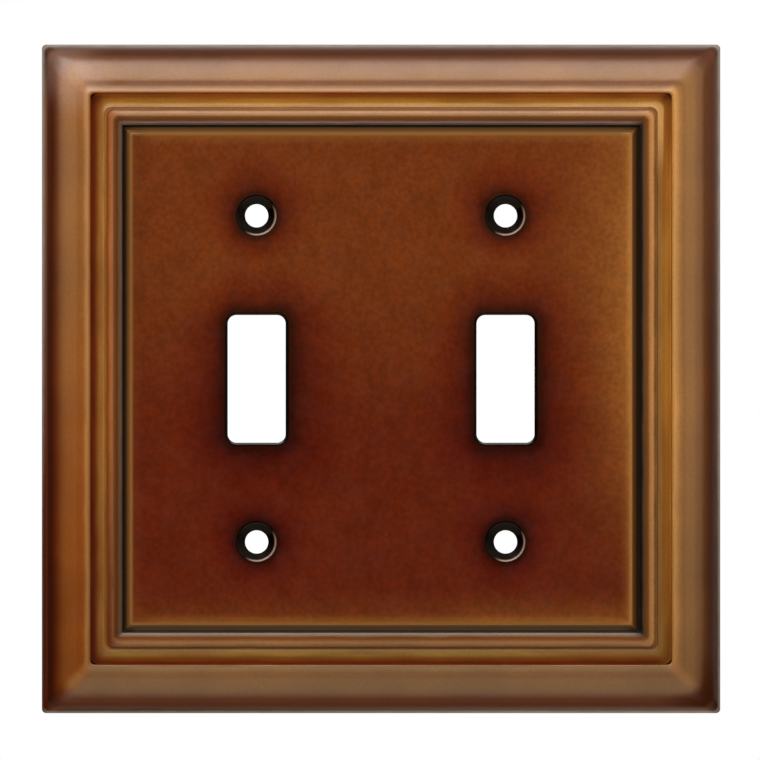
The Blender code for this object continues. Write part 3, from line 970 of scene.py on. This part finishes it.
def panel_finish(name):
    """Red brown stain, glazed darker round the openings and gold at the field's edge."""
    graph = Graph(name)
    sides = graph.sides()
    inset = graph.math("MINIMUM", *graph.from_edges())
    color = stained_field(graph)

    hole = distance_to_screw_hole(graph)
    slot = distance_to_slot(graph)
    from_gang = graph.beyond("x", GANG_X)
    from_screw = graph.beyond("z", SCREW_Z)
    # A painted highlight on the lower right of each countersink's rim, in colour and in shine.
    painted_glint = graph.fade(graph.math("SUBTRACT", from_gang, from_screw), 0.5, 3.5)
    painted_glint = graph.times(painted_glint, graph.band(hole, -0.3, -0.05, 0.05, 0.25))
    ledge = graph.times(graph.fade(graph.z, -11.3, -11.8), graph.fade(slot, 0.6, 0.35))
    cone = graph.fade(hole, 0.1, -0.2)

    beside_slot = graph.fade(from_gang, -4.0, -7.0, 0.0, 0.3)
    above_slot = graph.fade(graph.z, 9.0, 13.0, 0.0, 0.3)
    slot = graph.times(slot, graph.math("ADD", graph.math("ADD", beside_slot, above_slot), 1.05))
    hole = graph.times(hole, graph.fade(from_screw, -2.0, 4.0, 2.2, 1.65))
    near = graph.math("MINIMUM", slot, hole)
    gloss = graph.fade(near, -0.5, 3.0, 0.1, 0.5)
    shine = graph.math("ADD", graph.times(painted_glint, 0.3), graph.times(ledge, 0.5))
    gloss = graph.math("ADD", gloss, graph.math("ADD", shine, graph.times(cone, 0.15)))

    wander = graph.times(graph.math("SUBTRACT", graph.noise(5.0, 2.0), 0.5), 2.0)
    near = graph.math("ADD", near, graph.times(wander, graph.fade(near, 0.8, 3.0)))
    # The glaze ramp also paints a reflection off each opening's lip.
    stops = [(away / GLAZE_REACH, (*share, 1.0)) for away, share in GLAZE_AND_GLINT_SHARES]
    glaze = graph.ramp(graph.math("DIVIDE", near, GLAZE_REACH), stops)
    color = graph.mix(1.0, color, glaze, "MULTIPLY")
    # Painted highlight on the countersinks' rims.
    color = graph.mix(graph.times(painted_glint, 0.45), color, tone(190, 150, 128))
    color = moulded_edge(graph, inset, sides, color)
    # Painted shade along the field's left edge, from the middle upwards.
    painted_shade_upper_left = graph.times(graph.fade(graph.x, -42.0, -45.0), graph.fade(graph.z, -10.0, 25.0))
    color = graph.mix(painted_shade_upper_left, color, (0.87, 0.87, 0.87, 1.0), "MULTIPLY")
    top_edge = side_band(graph, inset, sides, "top", (15.2, 16.0, 16.6, 16.9))
    graph.lacquer(color, graph.scaled(gloss, top_edge, -0.8), (0.18, 0.24))
    return graph.material


def bare_wood(name, upright=False):
    """Unfinished back: pale brown wood with a fine straight grain, level or upright."""
    graph = Graph(name)
    grain_stretch, pore_stretch = (22.0, 1.0, 1.0), (14.0, 1.0, 1.0)
    if upright:
        grain_stretch, pore_stretch = grain_stretch[::-1], pore_stretch[::-1]
    grain = graph.noise(1.1, 5.0, grain_stretch)
    pores = graph.noise(0.25, 2.0, pore_stretch)
    color = graph.mix(graph.fade(grain, 0.25, 0.75), tone(150, 108, 70), tone(186, 146, 102))
    color = graph.mix(graph.fade(pores, 0.62, 0.75, 0.0, 0.6), color, tone(96, 62, 38))
    stain = graph.fade(graph.noise(20.0), 0.35, 0.75, 0.0, 0.35)
    color = graph.mix(stain, color, tone(124, 84, 52))
    roughness = graph.fade(grain, 0.2, 0.8, 0.6, 0.78)
    graph.surface(color, roughness, graph.math("SUBTRACT", grain, pores))
    return graph.material


def strip_steel(name):
    """Rolled steel strip with fine scratches along its height."""
    graph = Graph(name)
    scratch = graph.noise(0.12, 3.0, stretch=(1.0, 30.0, 1.0))
    color = graph.mix(graph.fade(scratch, 0.3, 0.7), tone(150, 152, 156), tone(196, 198, 202))
    graph.shader.inputs["Metallic"].default_value = 1.0
    graph.surface(color, graph.fade(scratch, 0.2, 0.8, 0.28, 0.48), scratch)
    return graph.material


def dress(piece, front, back):
    """Give a piece its finish in front, and bare wood on the faces that look at the wall."""
    piece.data.materials.clear()
    piece.data.materials.append(front)
    piece.data.materials.append(back)
    for face in piece.data.polygons:
        face.material_index = 1 if face.normal.y > 0.5 else 0


# ---------------------------------------------------------------- stage


# Floor, and the camera's frame and place
FLOOR_HALF_WIDTH = 2.5
FLOOR_DROP = 1.4
FLOOR_COLOR = (0.9, 0.82, 0.72, 1.0)
FLOOR_ROUGHNESS = 0.8
VIEW_WIDTH = 140.5 * MM
VIEW_PLACE = (-0.2 * MM, -1.2, -0.21 * MM)

# Each light's name, place, width and height in metres, and power in watts
SOFTBOXES = [
    ("overhead", (-0.12, -0.585, 0.546), 0.8, 0.55, 6.4),
    ("left", (-0.45, -0.6, 0.38), 0.3, 0.5, 0.35),
    ("near_left", (-0.31, -0.33, 0.15), 0.28, 0.2, 0.27),
    ("right", (0.3, -0.42, 0.13), 0.35, 0.35, 0.42),
    ("below", (0.05, -0.7, -0.5), 1.0, 0.8, 2.2),
]


def studio_floor(material):
    """A pale floor well below the plate."""
    bm = bmesh.new()
    bmesh.ops.create_grid(bm, x_segments=1, y_segments=1, size=FLOOR_HALF_WIDTH)
    bmesh.ops.translate(bm, vec=(0.0, 0.0, -FLOOR_DROP), verts=bm.verts)
    floor = add_piece("studio_floor", bm)
    floor.data.materials.append(material)


def floor_finish():
    """Matt pale cream."""
    graph = Graph("studio_floor")
    graph.put(graph.shader.inputs["Base Color"], FLOOR_COLOR)
    graph.put(graph.shader.inputs["Roughness"], FLOOR_ROUGHNESS)
    return graph.material


def softbox(name, location, width, height, power):
    """An area light aimed at the plate."""
    light = bpy.data.lights.new(name, "AREA")
    light.shape = "RECTANGLE"
    light.size = width
    light.size_y = height
    light.energy = power
    lamp = bpy.data.objects.new(name, light)
    lamp.location = location
    lamp.rotation_euler = (-Vector(location)).to_track_quat("-Z", "Y").to_euler()
    bpy.context.scene.collection.objects.link(lamp)


def studio_world():
    """White behind the plate, and dark behind the camera, so that the front has no haze."""
    world = bpy.data.worlds.new("studio")
    world.use_nodes = True
    nodes = world.node_tree.nodes
    links = world.node_tree.links
    direction = nodes.new("ShaderNodeTexCoord").outputs["Generated"]
    split = nodes.new("ShaderNodeSeparateXYZ")
    links.new(direction, split.inputs[0])

    def fade(axis, start, end, low, high):
        """Smooth change from low to high along one axis of the view's direction."""
        node = nodes.new("ShaderNodeMapRange")
        node.interpolation_type = "SMOOTHSTEP"
        for socket, value in zip(list(node.inputs)[1:5], (start, end, low, high)):
            socket.default_value = value
        links.new(split.outputs[axis], node.inputs["Value"])
        return node.outputs[0]

    def math_node(operation, first, second):
        """One sum on two sockets."""
        node = nodes.new("ShaderNodeMath")
        node.operation = operation
        links.new(first, node.inputs[0])
        links.new(second, node.inputs[1])
        return node.outputs[0]

    rim = math_node("MULTIPLY", fade("Y", 0.5, 0.95, 0.0, 0.7), fade("Z", -0.2, 0.5, 0.9, 1.5))
    sides = math_node("ADD", fade("Z", -0.1, 1.0, 0.0, 0.45), fade("X", 0.0, 1.0, 0.02, 0.3))
    glow = math_node("MULTIPLY", sides, fade("Y", -0.7, -0.1, 0.0, 1.0))
    glow = math_node("ADD", glow, rim)
    is_camera = nodes.new("ShaderNodeLightPath").outputs["Is Camera Ray"]
    strength = math_node("MAXIMUM", is_camera, glow)
    tint = nodes.new("ShaderNodeMix")
    tint.data_type = "RGBA"
    tint.inputs[MIX_COLOR_A].default_value = (1.0, 0.72, 0.5, 1.0)
    tint.inputs[MIX_COLOR_B].default_value = (1.0, 0.84, 0.68, 1.0)
    links.new(fade("Y", 0.3, 0.6, 0.0, 1.0), tint.inputs["Factor"])
    backdrop = nodes.new("ShaderNodeMix")
    backdrop.data_type = "RGBA"
    backdrop.inputs[MIX_COLOR_B].default_value = (1.0, 1.0, 1.0, 1.0)
    links.new(tint.outputs[MIX_COLOR_RESULT], backdrop.inputs[MIX_COLOR_A])
    links.new(is_camera, backdrop.inputs["Factor"])
    background = nodes["Background"]
    links.new(backdrop.outputs[MIX_COLOR_RESULT], background.inputs["Color"])
    links.new(strength, background.inputs["Strength"])
    bpy.context.scene.world = world


def add_camera():
    """A camera square on to the plate, far enough off to show no perspective."""
    camera = bpy.data.cameras.new("camera")
    camera.type = "ORTHO"
    camera.ortho_scale = VIEW_WIDTH
    camera.clip_start = 0.01
    view = bpy.data.objects.new("camera", camera)
    view.location = VIEW_PLACE
    view.rotation_euler = (math.pi / 2, 0.0, 0.0)
    bpy.context.scene.collection.objects.link(view)
    bpy.context.scene.camera = view


# ---------------------------------------------------------------- build

rail_finish = moulding_finish("rail_finish")
ring_finish = moulding_finish("ring_finish")
panel_stain = panel_finish("panel_finish")
back_wood = bare_wood("bare_wood")
upright_wood = bare_wood("bare_wood_upright", upright=True)
nail_steel = strip_steel("strip_steel")

for turn, side in enumerate(("top", "left", "bottom", "right")):
    rail = rail_piece(side + "_rail_stained", turn)
    dress(rail, rail_finish, upright_wood if side in ("left", "right") else back_wood)
    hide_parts(side + "_rail")
    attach(rail, "root")

ring = ring_piece()
dress(ring, ring_finish, back_wood)
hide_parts("bead_ring")
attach(ring, "root")

panel = panel_piece()
dress(panel, panel_stain, back_wood)
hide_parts("centre_panel")
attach(panel, "root")

for node_name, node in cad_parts.items():
    if node_name.startswith("v_nail_"):
        for slot in node.material_slots:
            slot.material = nail_steel

studio_floor(floor_finish())
for softbox_row in SOFTBOXES:
    softbox(*softbox_row)
studio_world()
add_camera()
bpy.context.scene.view_settings.view_transform = "Standard"
